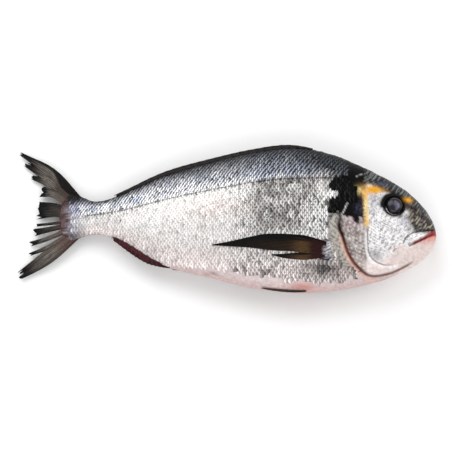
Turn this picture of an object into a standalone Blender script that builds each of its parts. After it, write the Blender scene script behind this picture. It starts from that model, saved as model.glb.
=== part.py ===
"""A whole raw sea bream, lying on its left flank on a table, with its right flank up.

+X runs to the snout, +Y to the back and +Z up. The origin is on the table, under the middle of the fish.
Lengths are in millimetres here, and become metres as each mesh is made. The body is a loft through upright
ovals, pressed flat where the trunk rests. Tail, fins, eye sockets, mouth and gill slits are joined to it or
cut out of it, so the fish is one solid, with an eyeball in each socket.
"""

import bmesh
import bpy
import numpy as np

MM = 0.001
FISH_NAME = "whole_raw_sea_bream"

# Driving dimensions
TOTAL_LENGTH = 320.0
SNOUT_X = TOTAL_LENGTH / 2
TRUNK_HEIGHT = 19.5
TAIL_DROP = 16.5
SAG_START_X = 20.0
SAG_LENGTH = 170.0
RIGHT, LEFT = 1, -1

# The body from snout to tail root: x, height of the back, height of the belly, half thickness
STATIONS = np.array([
    (SNOUT_X, -12.6, -15.6, 1.2),
    (159.2, -8.4, -19.4, 4.6),
    (156.4, -0.8, -25.6, 8.8),
    (150.0, 9.0, -32.8, 11.8),
    (139.0, 20.2, -40.4, 14.4),
    (123.7, 30.4, -47.4, 16.8),
    (104.0, 40.6, -53.2, 19.1),
    (80.0, 50.8, -57.6, 20.7),
    (52.0, 56.0, -59.0, 21.3),
    (20.0, 52.2, -55.6, 20.0),
    (-14.0, 44.6, -46.8, 16.8),
    (-48.0, 35.4, -37.0, 12.4),
    (-79.6, 21.8, -17.4, 8.0),
    (-95.0, 16.0, -11.2, 6.2),
    (-105.0, 16.2, -10.6, 5.2),
    (-114.4, 20.4, -13.2, 3.8),
    (-122.0, 22.0, -14.6, 2.2),
    (-127.0, 18.5, -11.0, 1.0),
])
BODY_RINGS = 50
BODY_SIDES = 32
BACK_SHARPNESS = 1.12
BELLY_SHARPNESS = 0.86

# The tail fin, split into blades: height of the root, middle x, y and width, tip x, y and width
TAIL_ROOT_X = -116.0
TAIL_ROOT_WIDTH = 6.0
TAIL_HALF_THICKNESS = 0.8
TAIL_BLADES = (
    (17.0, -137.0, 39.6, 7.6, -160.0, 57.0, 1.4),
    (14.0, -137.2, 35.2, 8.4, -157.6, 47.9, 1.8),
    (12.0, -136.4, 30.6, 6.4, -152.4, 37.2, 2.0),
    (9.5, -135.0, 22.6, 7.4, -144.4, 25.4, 8.0),
    (4.0, -134.0, 9.8, 12.0, -147.6, 10.0, 13.5),
    (0.5, -138.0, -1.0, 2.6, -147.2, -1.6, 1.8),
    (-1.0, -138.0, -5.4, 4.4, -149.2, -7.2, 5.4),
    (-3.0, -139.0, -12.4, 4.4, -152.6, -16.4, 1.6),
    (-5.0, -137.0, -18.6, 4.4, -152.4, -24.9, 1.5),
    (-7.5, -137.0, -24.2, 8.0, -160.0, -39.6, 1.6),
    (-10.5, -137.0, -28.4, 8.0, -159.2, -43.4, 1.6),
)

# The folded fins: x at front and rear, depth, half thickness, lean to the right, shares of the depth on the way
EDGE_FIN_RINGS = 20
DORSAL_FIN = (66.0, -84.0, 2.2, 1.5, 0.8, (0.3, 1.0, 1.0, 1.0, 1.0, 0.9, 0.5))
ANAL_FIN = (-45.0, -87.0, 6.6, 1.3, 0.6, (0.1, 0.5, 0.9, 1.0, 0.85, 0.35))
PELVIC_FIN = (61.0, 24.0, 1.8, 1.3, 3.4, (0.4, 1.0, 0.9, 0.3))

# The pectoral fin, folded back along the flank: x, upper edge, lower edge
PECTORAL_FIN = np.array([
    (82.0, -23.0, -38.5),
    (70.0, -20.0, -38.0),
    (52.0, -19.0, -37.2),
    (34.0, -18.4, -33.4),
    (10.0, -20.4, -27.0),
    (-12.0, -24.6, -25.8),
])
PECTORAL_RISE = 1.2
PECTORAL_SINK = 0.9

EYE_CENTRE = (128.0, 5.8)
EYE_RADIUS = 7.6
EYE_HALF_DEPTH = 5.0
EYE_BULGE = 1.1
SOCKET_GAP = 0.3

MOUTH_LINE = ((162.5, -13.6), (150.0, -17.4), (142.0, -20.4), (136.0, -24.2))
MOUTH_GAP = 0.9
GILL_EDGE = ((91.4, 8.5), (86.8, -1.0), (85.0, -11.5), (86.6, -21.0), (90.4, -29.4), (95.1, -37.6), (103.5, -44.2))
CHEEK_EDGE = ((105.9, 3.0), (105.8, -11.8), (106.6, -23.5), (109.2, -33.0), (116.0, -38.4), (125.0, -39.6))
NOSTRIL = (144.6, 2.2)
NOSTRIL_RADIUS = 0.9

SKIN_COLOUR = (0.60, 0.60, 0.60, 1.0)
EYE_COLOUR = (0.03, 0.03, 0.04, 1.0)


def clear_scene():
    for old in list(bpy.data.objects):
        bpy.data.objects.remove(old, do_unlink=True)


def collection(name):
    made = bpy.data.collections.new(name)
    bpy.context.scene.collection.children.link(made)
    return made


def material(name, colour, roughness):
    made = bpy.data.materials.new(name)
    made.use_nodes = True
    shader = made.node_tree.nodes["Principled BSDF"]
    shader.inputs["Base Color"].default_value = colour
    shader.inputs["Roughness"].default_value = roughness
    shader.inputs["Metallic"].default_value = 0.0
    return made


def through(points, steps):
    """A smooth curve through every point, read at this many places: a Catmull-Rom spline."""
    points = np.asarray(points, float)
    padded = np.vstack([2 * points[0] - points[1], points, 2 * points[-1] - points[-2]])
    place = np.linspace(0, len(points) - 1, steps)
    span = np.minimum(place.astype(int), len(points) - 2)
    t = (place - span)[:, None]
    a, b, c, d = (padded[span + i] for i in range(4))
    return 0.5 * (2 * b + (c - a) * t + (2 * a - 5 * b + 4 * c - d) * t**2 + (3 * b - a - 3 * c + d) * t**3)


PROFILE = through(STATIONS, 400)


def profile_at(x):
    """Height of the back, height of the belly and half thickness of the body at x."""
    rising = PROFILE[::-1]
    return tuple(np.interp(x, rising[:, 0], rising[:, column]) for column in (1, 2, 3))


def spine_height(x):
    """Height of the fish's middle plane: level in head and trunk, then sinking towards the table."""
    sag = np.clip((SAG_START_X - x) / SAG_LENGTH, 0, 1)
    return TRUNK_HEIGHT - TAIL_DROP * sag**1.6


def thickness_share(rise):
    """The section's thickness as a share of its widest, where rise runs from -1 at the belly to 1 at the back."""
    sharpness = np.where(rise > 0, BACK_SHARPNESS, BELLY_SHARPNESS)
    return np.maximum(1 - np.clip(rise, -1, 1) ** 2, 0) ** (sharpness / 2)


def flank(x, y, side):
    """Height of the skin above the table at x, y, on the right or the left flank."""
    back, belly, half = profile_at(x)
    rise = (2 * y - back - belly) / (back - belly)
    return np.maximum(spine_height(x) + side * half * thickness_share(rise), 0)


def mesh_object(name, points, faces, home, skin=None):
    """A closed mesh object with its faces pointing out. Without a skin it is a helper, and isn't rendered."""
    mesh = bpy.data.meshes.new(name)
    mesh.from_pydata((np.asarray(points) * MM).tolist(), [], faces)
    made = bmesh.new()
    made.from_mesh(mesh)
    bmesh.ops.recalc_face_normals(made, faces=made.faces)
    made.to_mesh(mesh)
    made.free()
    obj = bpy.data.objects.new(name, mesh)
    home.objects.link(obj)
    if skin is None:
        obj.hide_render = True
        obj.display_type = "WIRE"
    else:
        mesh.materials.append(skin)
    return obj


def loft(name, rings, home, skin=None):
    """A closed body through rings of points: quads between neighbouring rings, and a cap on each end."""
    rings = np.asarray(rings)
    count, around = rings.shape[:2]
    here = np.arange(count * around).reshape(count, around)
    beside = np.roll(here, -1, axis=1)
    quads = np.stack([here[:-1], here[1:], beside[1:], beside[:-1]], axis=-1).reshape(-1, 4)
    faces = quads.tolist() + [here[0].tolist(), here[-1].tolist()]
    return mesh_object(name, rings.reshape(-1, 3), faces, home, skin)


def make_body(home, skin):
    """Head and trunk: an upright oval at each station, pointed at the back and flattened on the table."""
    angle = np.linspace(0, 2 * np.pi, BODY_SIDES, endpoint=False)
    x, back, belly, half = (column[:, None] for column in through(STATIONS, BODY_RINGS).T)
    rise = np.sin(angle)
    y = (back + belly) / 2 + (back - belly) / 2 * rise
    z = spine_height(x) + half * np.sign(np.cos(angle)) * thickness_share(rise)
    return loft("fish", np.stack([x + 0 * y, y, np.maximum(z, 0)], axis=-1), home, skin)


def make_tail_blade(name, size, home):
    """One blade of the tail fin: a slim oval carried from the root, through its middle, to its frayed tip."""
    root_y, middle_x, middle_y, middle_width, tip_x, tip_y, tip_width = size
    path = through([
        (TAIL_ROOT_X, root_y, TAIL_ROOT_WIDTH),
        (middle_x, middle_y, middle_width),
        (tip_x, tip_y, tip_width),
    ], 8)
    place, half_width = path[:, :2], path[:, 2:] / 2
    along = np.gradient(place, axis=0)
    across = along[:, ::-1] * (-1, 1) / np.linalg.norm(along, axis=1, keepdims=True)
    angle = np.linspace(0, 2 * np.pi, 6, endpoint=False)
    centre_z = spine_height(place[:, 0])[:, None]
    flat = place[:, None] + (across * half_width)[:, None] * np.cos(angle)[:, None]
    z = centre_z + TAIL_HALF_THICKNESS * np.sin(angle)
    return loft(name, np.concatenate([flat, z[:, :, None]], axis=-1), home)


def make_edge_fin(name, size, edge, home):
    """A folded fin along the back or the belly: a slim oval bead on that edge, as deep as its shares say."""
    front, rear, depth, half, lean, shares = size
    x = np.linspace(front, rear, EDGE_FIN_RINGS)
    y = profile_at(x)[0 if edge == "back" else 1]
    share = through(np.array(shares)[:, None], EDGE_FIN_RINGS)
    angle = np.linspace(0, 2 * np.pi, 8, endpoint=False)
    ring_y = y[:, None] + depth * share * np.sin(angle)
    ring_z = (spine_height(x) + lean)[:, None] + half * np.sqrt(share) * np.cos(angle)
    return loft(name, np.stack([x[:, None] + 0 * ring_y, ring_y, ring_z], axis=-1), home)


def make_pectoral_fin(name, side, home):
    """The fin folded back along one flank: a thin leaf that follows the skin, half sunk in it."""
    x, upper, lower = through(PECTORAL_FIN, 16).T
    share = np.linspace(0, 1, 6)
    y = lower[:, None] + (upper - lower)[:, None] * share
    across = np.broadcast_to(x[:, None], y.shape)
    skin = flank(across, y, side)
    outer = np.maximum(skin + side * PECTORAL_RISE, 2 * SOCKET_GAP)
    inner = skin - side * PECTORAL_SINK
    there = np.stack([across, y, outer], axis=-1)
    back_again = np.stack([across, y, inner], axis=-1)[:, ::-1]
    return loft(name, np.concatenate([there, back_again], axis=1), home)


def ellipsoid(name, centre, radius, half_depth, home, skin=None):
    """A flattened ball, with its short axis upright."""
    made = bmesh.new()
    bmesh.ops.create_uvsphere(made, u_segments=18, v_segments=10, radius=1.0)
    bmesh.ops.scale(made, vec=(radius * MM, radius * MM, half_depth * MM), verts=made.verts)
    bmesh.ops.translate(made, vec=np.asarray(centre) * MM, verts=made.verts)
    mesh = bpy.data.meshes.new(name)
    made.to_mesh(mesh)
    made.free()
    mesh.shade_smooth()
    obj = bpy.data.objects.new(name, mesh)
    home.objects.link(obj)
    if skin is None:
        obj.hide_render = True
        obj.display_type = "WIRE"
    else:
        mesh.materials.append(skin)
    return obj


def make_eye(name, side, home, skin, extra=0.0):
    """An eyeball that bulges a little from its flank. With extra it is the larger ball that cuts its socket."""
    x, y = EYE_CENTRE
    depth = EYE_HALF_DEPTH - EYE_BULGE
    centre = (x, y, float(flank(x, y, side)) - side * depth)
    return ellipsoid(name, centre, EYE_RADIUS + extra, EYE_HALF_DEPTH + extra, home, skin)


def make_mouth_cutter(home):
    """The closed mouth: a thin slot from side to side, from the lips to the corners of the jaws."""
    x, y = through(MOUTH_LINE, 8).T
    low, high = -5.0, 2 * TRUNK_HEIGHT + 5.0
    gap = MOUTH_GAP / 2 * np.linspace(1, 0.5, len(x))
    rings = [((a, b - g, low), (a, b + g, low), (a, b + g, high), (a, b - g, high)) for a, b, g in zip(x, y, gap)]
    return loft("mouth_cut", rings, home)


def make_groove_cutter(name, edge, side, width, depth, home):
    """A groove that follows a line drawn on one flank, such as the slit behind the gill cover."""
    x, y = through(edge, 14).T
    skin = flank(x, y, side)
    near, far = skin - side * depth, skin + side * 6.0
    wide = width / 2
    rings = [
        ((a - wide, b, n), (a + wide, b, n), (a + wide, b, f), (a - wide, b, f))
        for a, b, n, f in zip(x, y, near, far)
    ]
    return loft(name, rings, home)


def make_nostril_cutter(name, side, home):
    x, y = NOSTRIL
    return ellipsoid(name, (x, y, float(flank(x, y, side))), NOSTRIL_RADIUS, NOSTRIL_RADIUS, home)


def boolean(obj, operation, others):
    """Joins the whole collection to the object, or cuts it away."""
    modifier = obj.modifiers.new(operation.lower(), "BOOLEAN")
    modifier.operation = operation
    modifier.operand_type = "COLLECTION"
    modifier.collection = others
    modifier.solver = "EXACT"


def centre_over_origin(anchor, objects):
    """Moves the empty that carries the fish until the origin is under the middle of the fish's box."""
    bpy.context.view_layer.update()
    graph = bpy.context.evaluated_depsgraph_get()
    corners = []
    for obj in objects:
        evaluated = obj.evaluated_get(graph)
        mesh = evaluated.to_mesh()
        flat = np.empty(len(mesh.vertices) * 3, np.float32)
        mesh.vertices.foreach_get("co", flat)
        evaluated.to_mesh_clear()
        points = flat.reshape(-1, 3)
        corners += [points.min(axis=0), points.max(axis=0)]
    low, high = np.min(corners, axis=0), np.max(corners, axis=0)
    anchor.location = (-(low[0] + high[0]) / 2, -(low[1] + high[1]) / 2, -low[2])


def main():
    clear_scene()
    fish_parts = collection(FISH_NAME)
    fins = collection("fins")
    cutters = collection("cutters")
    skin = material("skin", SKIN_COLOUR, 0.35)
    eye = material("eye", EYE_COLOUR, 0.1)

    body = make_body(fish_parts, skin)
    for number, size in enumerate(TAIL_BLADES, 1):
        make_tail_blade(f"tail_blade_{number}", size, fins)
    make_edge_fin("dorsal_fin", DORSAL_FIN, "back", fins)
    make_edge_fin("anal_fin", ANAL_FIN, "belly", fins)
    make_edge_fin("pelvic_fins", PELVIC_FIN, "belly", fins)
    make_mouth_cutter(cutters)
    eyes = []
    for side, word in ((RIGHT, "right"), (LEFT, "left")):
        make_pectoral_fin(f"pectoral_fin_{word}", side, fins)
        make_groove_cutter(f"gill_slit_{word}", GILL_EDGE, side, 0.9, 1.6, cutters)
        make_groove_cutter(f"cheek_groove_{word}", CHEEK_EDGE, side, 0.8, 0.7, cutters)
        make_nostril_cutter(f"nostril_{word}", side, cutters)
        make_eye(f"socket_{word}", side, cutters, None, SOCKET_GAP)
        eyes.append(make_eye(f"eye_{word}", side, fish_parts, eye))
    boolean(body, "UNION", fins)
    boolean(body, "DIFFERENCE", cutters)
    body.data.shade_smooth()

    anchor = bpy.data.objects.new("fish_anchor", None)
    fish_parts.objects.link(anchor)
    for obj in list(fish_parts.objects) + list(fins.objects) + list(cutters.objects):
        if obj is not anchor:
            obj.parent = anchor
    centre_over_origin(anchor, [body, *eyes])


main()
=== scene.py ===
import math

import bpy
import numpy as np
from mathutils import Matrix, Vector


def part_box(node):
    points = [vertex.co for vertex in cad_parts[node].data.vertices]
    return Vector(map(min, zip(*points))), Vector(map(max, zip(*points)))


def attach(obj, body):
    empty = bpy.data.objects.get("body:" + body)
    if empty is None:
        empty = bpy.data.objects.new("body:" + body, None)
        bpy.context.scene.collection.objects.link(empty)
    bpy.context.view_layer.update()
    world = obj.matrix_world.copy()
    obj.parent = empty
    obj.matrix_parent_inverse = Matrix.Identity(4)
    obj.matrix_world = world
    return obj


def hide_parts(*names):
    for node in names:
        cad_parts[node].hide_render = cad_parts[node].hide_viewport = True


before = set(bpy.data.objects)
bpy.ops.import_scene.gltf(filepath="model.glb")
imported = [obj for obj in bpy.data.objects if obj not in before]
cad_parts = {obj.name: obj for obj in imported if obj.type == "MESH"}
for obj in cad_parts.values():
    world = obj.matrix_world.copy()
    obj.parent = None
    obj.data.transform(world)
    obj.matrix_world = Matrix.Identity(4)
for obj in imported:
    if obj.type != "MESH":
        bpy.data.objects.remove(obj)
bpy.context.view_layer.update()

# ----------------------------------------------------------------------
# The counter: a plain white worktop. The fish lies on it in the light of a large soft window, behind it
# and to the left, with white walls all round. The view is from above, tipped 15 degrees towards the belly.
# ----------------------------------------------------------------------

MM = 0.001
VIEW_ELEVATION = math.radians(75)
VIEW_LENS = 200.0
VIEW_DISTANCE = 1.930
VIEW_AIM = (-0.0010, -0.0050, 0.0195)
WORKTOP_REACH = 3.0
WORLD_LIGHT = 0.56
# Name, place, width and power
LAMPS = (
    ("window", (-0.55, 0.95, 1.05), 1.2, 12.5),
    ("side_window", (1.0, 0.3, 0.8), 0.8, 4.5),
    ("front_window", (-0.2, -1.2, 0.9), 1.4, 9.6),
)


def srgb(red, green, blue, alpha=1.0):
    """A linear colour from the three everyday 0 to 255 numbers."""
    share = np.array((red, green, blue)) / 255.0
    linear = np.where(share <= 0.04045, share / 12.92, ((share + 0.055) / 1.055) ** 2.4)
    return (*linear.tolist(), alpha)


def new_material(name, colour, roughness, **sockets):
    """A material with one Principled shader, its plain sockets set by name."""
    made = bpy.data.materials.new(name)
    made.use_nodes = True
    shader = made.node_tree.nodes["Principled BSDF"]
    shader.inputs["Base Color"].default_value = colour
    shader.inputs["Roughness"].default_value = roughness
    for socket, value in sockets.items():
        shader.inputs[socket.replace("_", " ")].default_value = value
    return made, made.node_tree, shader


def add_lamp(name, place, width, power):
    """A square soft lamp that faces the fish."""
    light = bpy.data.lights.new(name, "AREA")
    light.size = width
    light.energy = power
    lamp = bpy.data.objects.new(name, light)
    bpy.context.scene.collection.objects.link(lamp)
    lamp.location = place
    away = np.array(place) / np.linalg.norm(place)
    lamp.rotation_euler = (math.acos(away[2]), 0, math.atan2(away[0], -away[1]))


view_data = bpy.data.cameras.new("camera")
view_data.lens = VIEW_LENS
view_data.sensor_width = 36.0
camera = bpy.data.objects.new("camera", view_data)
bpy.context.scene.collection.objects.link(camera)
camera.location = (
    VIEW_AIM[0],
    VIEW_AIM[1] - VIEW_DISTANCE * math.cos(VIEW_ELEVATION),
    VIEW_AIM[2] + VIEW_DISTANCE * math.sin(VIEW_ELEVATION),
)
camera.rotation_euler = (math.pi / 2 - VIEW_ELEVATION, 0, 0)
bpy.context.scene.camera = camera

worktop_mesh = bpy.data.meshes.new("worktop")
corners = [(x * WORKTOP_REACH, y * WORKTOP_REACH, 0) for x, y in ((-1, -1), (1, -1), (1, 1), (-1, 1))]
worktop_mesh.from_pydata(corners, [], [(0, 1, 2, 3)])
worktop = bpy.data.objects.new("worktop", worktop_mesh)
bpy.context.scene.collection.objects.link(worktop)
worktop_mesh.materials.append(new_material("white_worktop", (0.95, 0.95, 0.95, 1), 0.6)[0])

for name, place, width, power in LAMPS:
    add_lamp(name, place, width, power)

world = bpy.data.worlds.new("white_room")
world.use_nodes = True
world.node_tree.nodes["Background"].inputs["Color"].default_value = (1, 1, 1, 1)
world.node_tree.nodes["Background"].inputs["Strength"].default_value = WORLD_LIGHT
bpy.context.scene.world = world
bpy.context.scene.view_settings.view_transform = "Standard"

# ----------------------------------------------------------------------
# The form of the body: a deep, slim fish of flesh and bone. Its sections are ovals, rounder at the belly
# and sharper at the back. Its weight flattens the lower flank, and the tail sags. Sizes from here on are
# in millimetres: x runs from tail to snout, y from belly to back, and z up from the worktop.
# ----------------------------------------------------------------------

SNOUT_X = 160.0
TRUNK_HEIGHT = 19.5
TAIL_DROP = 16.5
SAG_START_X = 20.0
SAG_LENGTH = 170.0
BACK_SHARPNESS = 1.12
BELLY_SHARPNESS = 0.86
SOCKET_CENTRE = (128.0, 5.8)
EYE_CENTRE = (127.3, 5.8)
eye_low, eye_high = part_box("eye_right")
FRAME_SHIFT = (
    (eye_low[0] + eye_high[0]) / 2 / MM - SOCKET_CENTRE[0],
    (eye_low[1] + eye_high[1]) / 2 / MM - SOCKET_CENTRE[1],
    0.0,
)
RIGHT, LEFT = 1, -1
SIDES = ((RIGHT, "right"), (LEFT, "left"))

# From snout to tail root: x, y of the back, y of the belly, half thickness
STATIONS = np.array([
    (SNOUT_X, -12.6, -15.6, 1.2),
    (159.2, -8.4, -19.4, 4.6),
    (156.4, -0.8, -25.6, 8.8),
    (150.0, 9.0, -32.8, 11.8),
    (139.0, 20.2, -40.4, 14.4),
    (123.7, 30.4, -47.4, 16.8),
    (104.0, 40.6, -53.2, 19.1),
    (80.0, 50.8, -57.6, 20.7),
    (52.0, 56.0, -59.0, 21.3),
    (20.0, 52.2, -55.6, 20.0),
    (-14.0, 44.6, -46.8, 16.8),
    (-48.0, 35.4, -37.0, 12.4),
    (-79.6, 21.8, -17.4, 8.0),
    (-95.0, 16.0, -11.2, 6.2),
    (-105.0, 16.2, -10.6, 5.2),
    (-114.4, 20.2, -13.2, 3.7),
    (-120.4, 22.0, -14.6, 2.4),
    (-125.4, 20.6, -13.2, 1.4),
    (-128.6, 15.4, -8.0, 0.7),
    (-130.0, 8.0, -1.0, 0.3),
])


def through(points, steps):
    """A smooth curve through every point, read at this many places: a Catmull-Rom spline."""
    points = np.asarray(points, float)
    padded = np.vstack([2 * points[0] - points[1], points, 2 * points[-1] - points[-2]])
    place = np.linspace(0, len(points) - 1, steps)
    span = np.minimum(place.astype(int), len(points) - 2)
    t = (place - span)[:, None]
    a, b, c, d = (padded[span + i] for i in range(4))
    return 0.5 * (2 * b + (c - a) * t + (2 * a - 5 * b + 4 * c - d) * t**2 + (3 * b - a - 3 * c + d) * t**3)


def rows_at(table, x):
    """The columns after the first of a table that falls in x, read at each x."""
    rising = table[::-1]
    return tuple(np.interp(x, rising[:, 0], rising[:, column]) for column in range(1, table.shape[1]))


PROFILE_STEPS = 800
PROFILE = through(STATIONS, PROFILE_STEPS)
NOISE_WAVES, NOISE_REACH = 9, 3.6


def spine_height(x):
    """Height of the middle plane: level in head and trunk, then falling as the 1.6th power of the way."""
    return TRUNK_HEIGHT - TAIL_DROP * np.clip((SAG_START_X - x) / SAG_LENGTH, 0, 1) ** 1.6


def thickness_share(rise):
    """Half thickness as a share of its widest: one minus rise squared, to half the sharpness."""
    sharpness = np.where(rise > 0, BACK_SHARPNESS, BELLY_SHARPNESS)
    return np.maximum(1 - np.clip(rise, -1, 1) ** 2, 0) ** (sharpness / 2)


def flank(x, y, side):
    """Height of the bare flank: middle plane plus or minus the half thickness there, but not below zero."""
    back, belly, half = rows_at(PROFILE, x)
    rise = (2 * y - back - belly) / (back - belly)
    return np.maximum(spine_height(x) + side * half * thickness_share(rise), 0)


def smooth(low, high, value):
    """Zero below low, one above high, and an S-shaped step of 3t^2 - 2t^3 between."""
    t = np.clip((value - low) / (high - low), 0, 1)
    return t * t * (3 - 2 * t)


def bump(value, centre, width):
    """A bell of height one: e to the minus squared distance over squared width."""
    return np.exp(-(((value - centre) / width) ** 2))


def spot(x, y, middle_x, middle_y, reach_x, reach_y):
    """An oval patch: one at its middle, falling off as a bell of these widths."""
    return bump(np.hypot((x - middle_x) / reach_x, (y - middle_y) / reach_y), 0, 1)


def to_line(x, y, line, steps=60):
    """Distance to a smooth line, the share of the way along it, and the side, positive to its right."""
    points = through(line, steps)
    start, step = points[:-1], np.diff(points, axis=0)
    away_x, away_y = x[..., None] - start[:, 0], y[..., None] - start[:, 1]
    share = np.clip((away_x * step[:, 0] + away_y * step[:, 1]) / (step**2).sum(axis=1), 0, 1)
    gap_x, gap_y = away_x - share * step[:, 0], away_y - share * step[:, 1]
    gap = np.hypot(gap_x, gap_y)
    nearest = gap.argmin(axis=-1)[..., None]

    def pick(values):
        return np.take_along_axis(values, nearest, axis=-1)[..., 0]

    turned = pick(gap_x * step[:, 1] - gap_y * step[:, 0])
    return pick(gap), (nearest[..., 0] + pick(share)) / (steps - 1), np.sign(turned)


def finish_mesh(name, points, faces, colours, material):
    """A smooth mesh object in metres, moved into the frame, with its colours in the attribute tint."""
    mesh = bpy.data.meshes.new(name)
    placed = (np.asarray(points).reshape(-1, 3) + FRAME_SHIFT) * MM
    mesh.from_pydata(placed.tolist(), [], faces if isinstance(faces, list) else np.asarray(faces).tolist())
    tint = mesh.color_attributes.new("tint", "FLOAT_COLOR", "POINT")
    tint.data.foreach_set("color", np.asarray(colours, np.float32).reshape(-1))
    mesh.materials.append(material)
    mesh.shade_smooth()
    piece = bpy.data.objects.new(name, mesh)
    bpy.context.scene.collection.objects.link(piece)
    return piece


def grid_faces(rows, columns, closed=False):
    """Four-cornered faces between the points of a grid, and round its columns if it is closed."""
    here = np.arange(rows * columns).reshape(rows, columns)
    beside = np.roll(here, -1, axis=1)
    if not closed:
        here, beside = here[:, :-1], beside[:, :-1]
    return np.stack([here[:-1], here[1:], beside[1:], beside[:-1]], axis=-1).reshape(-1, 4)


def tube_faces(rings, around):
    """Faces of a closed tube: its wall, and one face over each end."""
    ends = [list(range(around)), list(range((rings - 1) * around, rings * around))[::-1]]
    return grid_faces(rings, around, closed=True).tolist() + ends


def tinted(base, layers):
    """Colours laid over one another: each layer is a colour and how much of it shows at each point."""
    colours = np.broadcast_to(base, np.shape(layers[0][1]) + (4,))
    for colour, share in layers:
        share = np.clip(share, 0, 1)[..., None]
        colours = colours * (1 - share) + np.array(colour) * share
    return colours


def noise(x, y, seed, size):
    """Soft unevenness from -1 to 1: a sum of waves of this size that run in seeded directions."""
    draw = np.random.default_rng(seed)
    total = np.zeros(np.shape(x))
    for _ in range(NOISE_WAVES):
        turn, phase = draw.uniform(0, 2 * np.pi, 2)
        pitch = draw.uniform(0.6, 1.7)
        total = total + np.sin((x * np.cos(turn) + y * np.sin(turn)) * 2 * np.pi * pitch / size + phase)
    return total / NOISE_REACH


# ----------------------------------------------------------------------
# Skin of head and trunk: wet skin over the skull bones, gill cover and flesh. The head is bare and silvery,
# with a black blotch at the shoulder and gold by the eye; on the trunk the skin only shows between scales.
# ----------------------------------------------------------------------

EYE_RADIUS = 7.4
# Lines in the flank, as x and y of the points that they run through
GILL_EDGE = (
    (90.8, 6.6), (87.6, -1.0), (84.6, -10.9), (87.8, -20.6), (91.0, -30.6), (95.0, -37.8),
    (101.2, -44.2), (108.6, -48.0), (118.6, -47.0), (128.0, -43.8), (137.0, -39.2), (144.0, -34.2),
)
CHEEK_EDGE = (
    (107.0, 12.0), (107.0, -1.0), (106.6, -12.0), (106.6, -24.0),
    (107.6, -32.5), (112.0, -37.8), (119.8, -40.4), (128.0, -39.6),
)
GAPE = ((160.8, -13.8), (154.6, -16.6), (146.6, -21.0), (138.6, -25.0))
UPPER_JAW = ((160.6, -11.6), (154.0, -12.6), (148.6, -13.6), (141.4, -15.4), (136.4, -19.0), (133.8, -23.8))
BONE_LINE = ((91.4, 6.4), (88.4, 0.0), (85.0, -7.4))
NAPE_LINE = ((105.6, 32.8), (102.0, 31.4), (98.6, 29.2))
JAW_EDGE = np.array([(161.0, -13.8), (146.6, -21.0), (138.6, -25.0), (134.0, -24.4)])
CROWN_EDGE = np.array([
    (160, -7), (146, 5), (134, 11), (122, 15), (118, 17), (114, 21), (108, 22), (100, 21.5), (84, 21),
])
NOSTRIL = (144.2, 3.2)
REAR_NOSTRIL = (140.8, 4.8)
HEAD_SHARE = 0.44
HEAD_RINGS, TRUNK_RINGS, SKIN_SIDES = 220, 70, 288

SILVER = srgb(214, 214, 217)
CHEEK_WHITE = srgb(246, 244, 245)
BACK_SLATE = srgb(52, 55, 60)
NAPE_DARK = srgb(34, 34, 35)
NAPE_FLECK = srgb(146, 148, 148)
FLECK_CREAM = srgb(176, 165, 142)
NAPE_VIOLET = srgb(96, 96, 124)
SNOUT_OLIVE = srgb(40, 37, 35)
NOSTRIL_BROWN = srgb(56, 40, 38)
BLOTCH_BLACK = srgb(8, 8, 9)
GOLD = srgb(224, 160, 44)
PALE_GOLD = srgb(232, 208, 150)
JAW_PINK = srgb(224, 208, 204)
BELLY_PINK = srgb(212, 196, 195)
BELLY_RED = srgb(190, 124, 114)
OPERCLE_ROSE = srgb(148, 133, 125)
OPERCLE_VIOLET = srgb(150, 118, 128)
LIP_RED = srgb(150, 44, 40)
LIP_PINK = srgb(216, 124, 108)
THROAT_OLIVE = srgb(176, 171, 162)
TAIL_SILVER = srgb(152, 149, 160)
FIN_RUST = srgb(84, 56, 50)
GILL_RED = srgb(96, 44, 36)
RIM_ORANGE = srgb(222, 178, 160)
UNDER_SCALE = srgb(84, 83, 86)
# White of the bone lines and the mouth's edge, also used for the painted glints on the lower lip
BONE_AND_GLINT_WHITE = srgb(242, 238, 238)
GROOVE_GREY = srgb(84, 80, 86)


def behind_gill(x, y):
    """Signed distance to the gill cover's edge: negative on the head, positive on the trunk."""
    gap, _, side = to_line(x, y, GILL_EDGE)
    return np.where(y > GILL_EDGE[0][1], GILL_EDGE[0][0] - x, gap * side)


def skin_relief(x, y):
    """How far the skin stands out from the plain oval: ridges and grooves added up, in millimetres."""
    gill, gill_way, gill_side = to_line(x, y, GILL_EDGE)
    cheek, _, cheek_side = to_line(x, y, CHEEK_EDGE)
    gape, _, gape_side = to_line(x, y, GAPE)
    jaw, _, _ = to_line(x, y, UPPER_JAW)
    bone, _, _ = to_line(x, y, BONE_LINE)
    eye = np.hypot(x - EYE_CENTRE[0], y - EYE_CENTRE[1])
    ends = smooth(0, 0.06, gill_way) * smooth(1, 0.7, gill_way)
    cover = (gill_side < 0) * smooth(0, 0.5, gill) * bump(gill, 0, 12) * ends
    relief = 0.9 * cover - 0.8 * bump(gill, 0, 0.8) * (gill_side >= 0) * ends
    relief += 0.55 * (cheek_side > 0) * bump(cheek, 1.1, 1.3) - 0.5 * bump(cheek, 0, 0.6)
    relief += -1.5 * bump(gape, 0, 0.7) + 0.5 * bump(gape, 2.0, 1.0) * (gape_side < 0)
    relief += -0.8 * bump(jaw, 0, 0.5)
    relief += 0.6 * bump(eye, EYE_RADIUS + 1.4, 1.2) - 2.6 * smooth(EYE_RADIUS + 0.7, EYE_RADIUS - 0.6, eye)
    relief += 0.35 * bump(bone, 0, 0.7)
    relief -= 0.9 * spot(x, y, *NOSTRIL, 0.9, 1.125) + 0.7 * spot(x, y, *REAR_NOSTRIL, 0.8, 0.8)
    relief += 0.2 * noise(x, y, 4, 17) * smooth(80, 90, x) + 0.05 * noise(x, y, 5, 3.5) * smooth(86, 96, x)
    return relief


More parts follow.
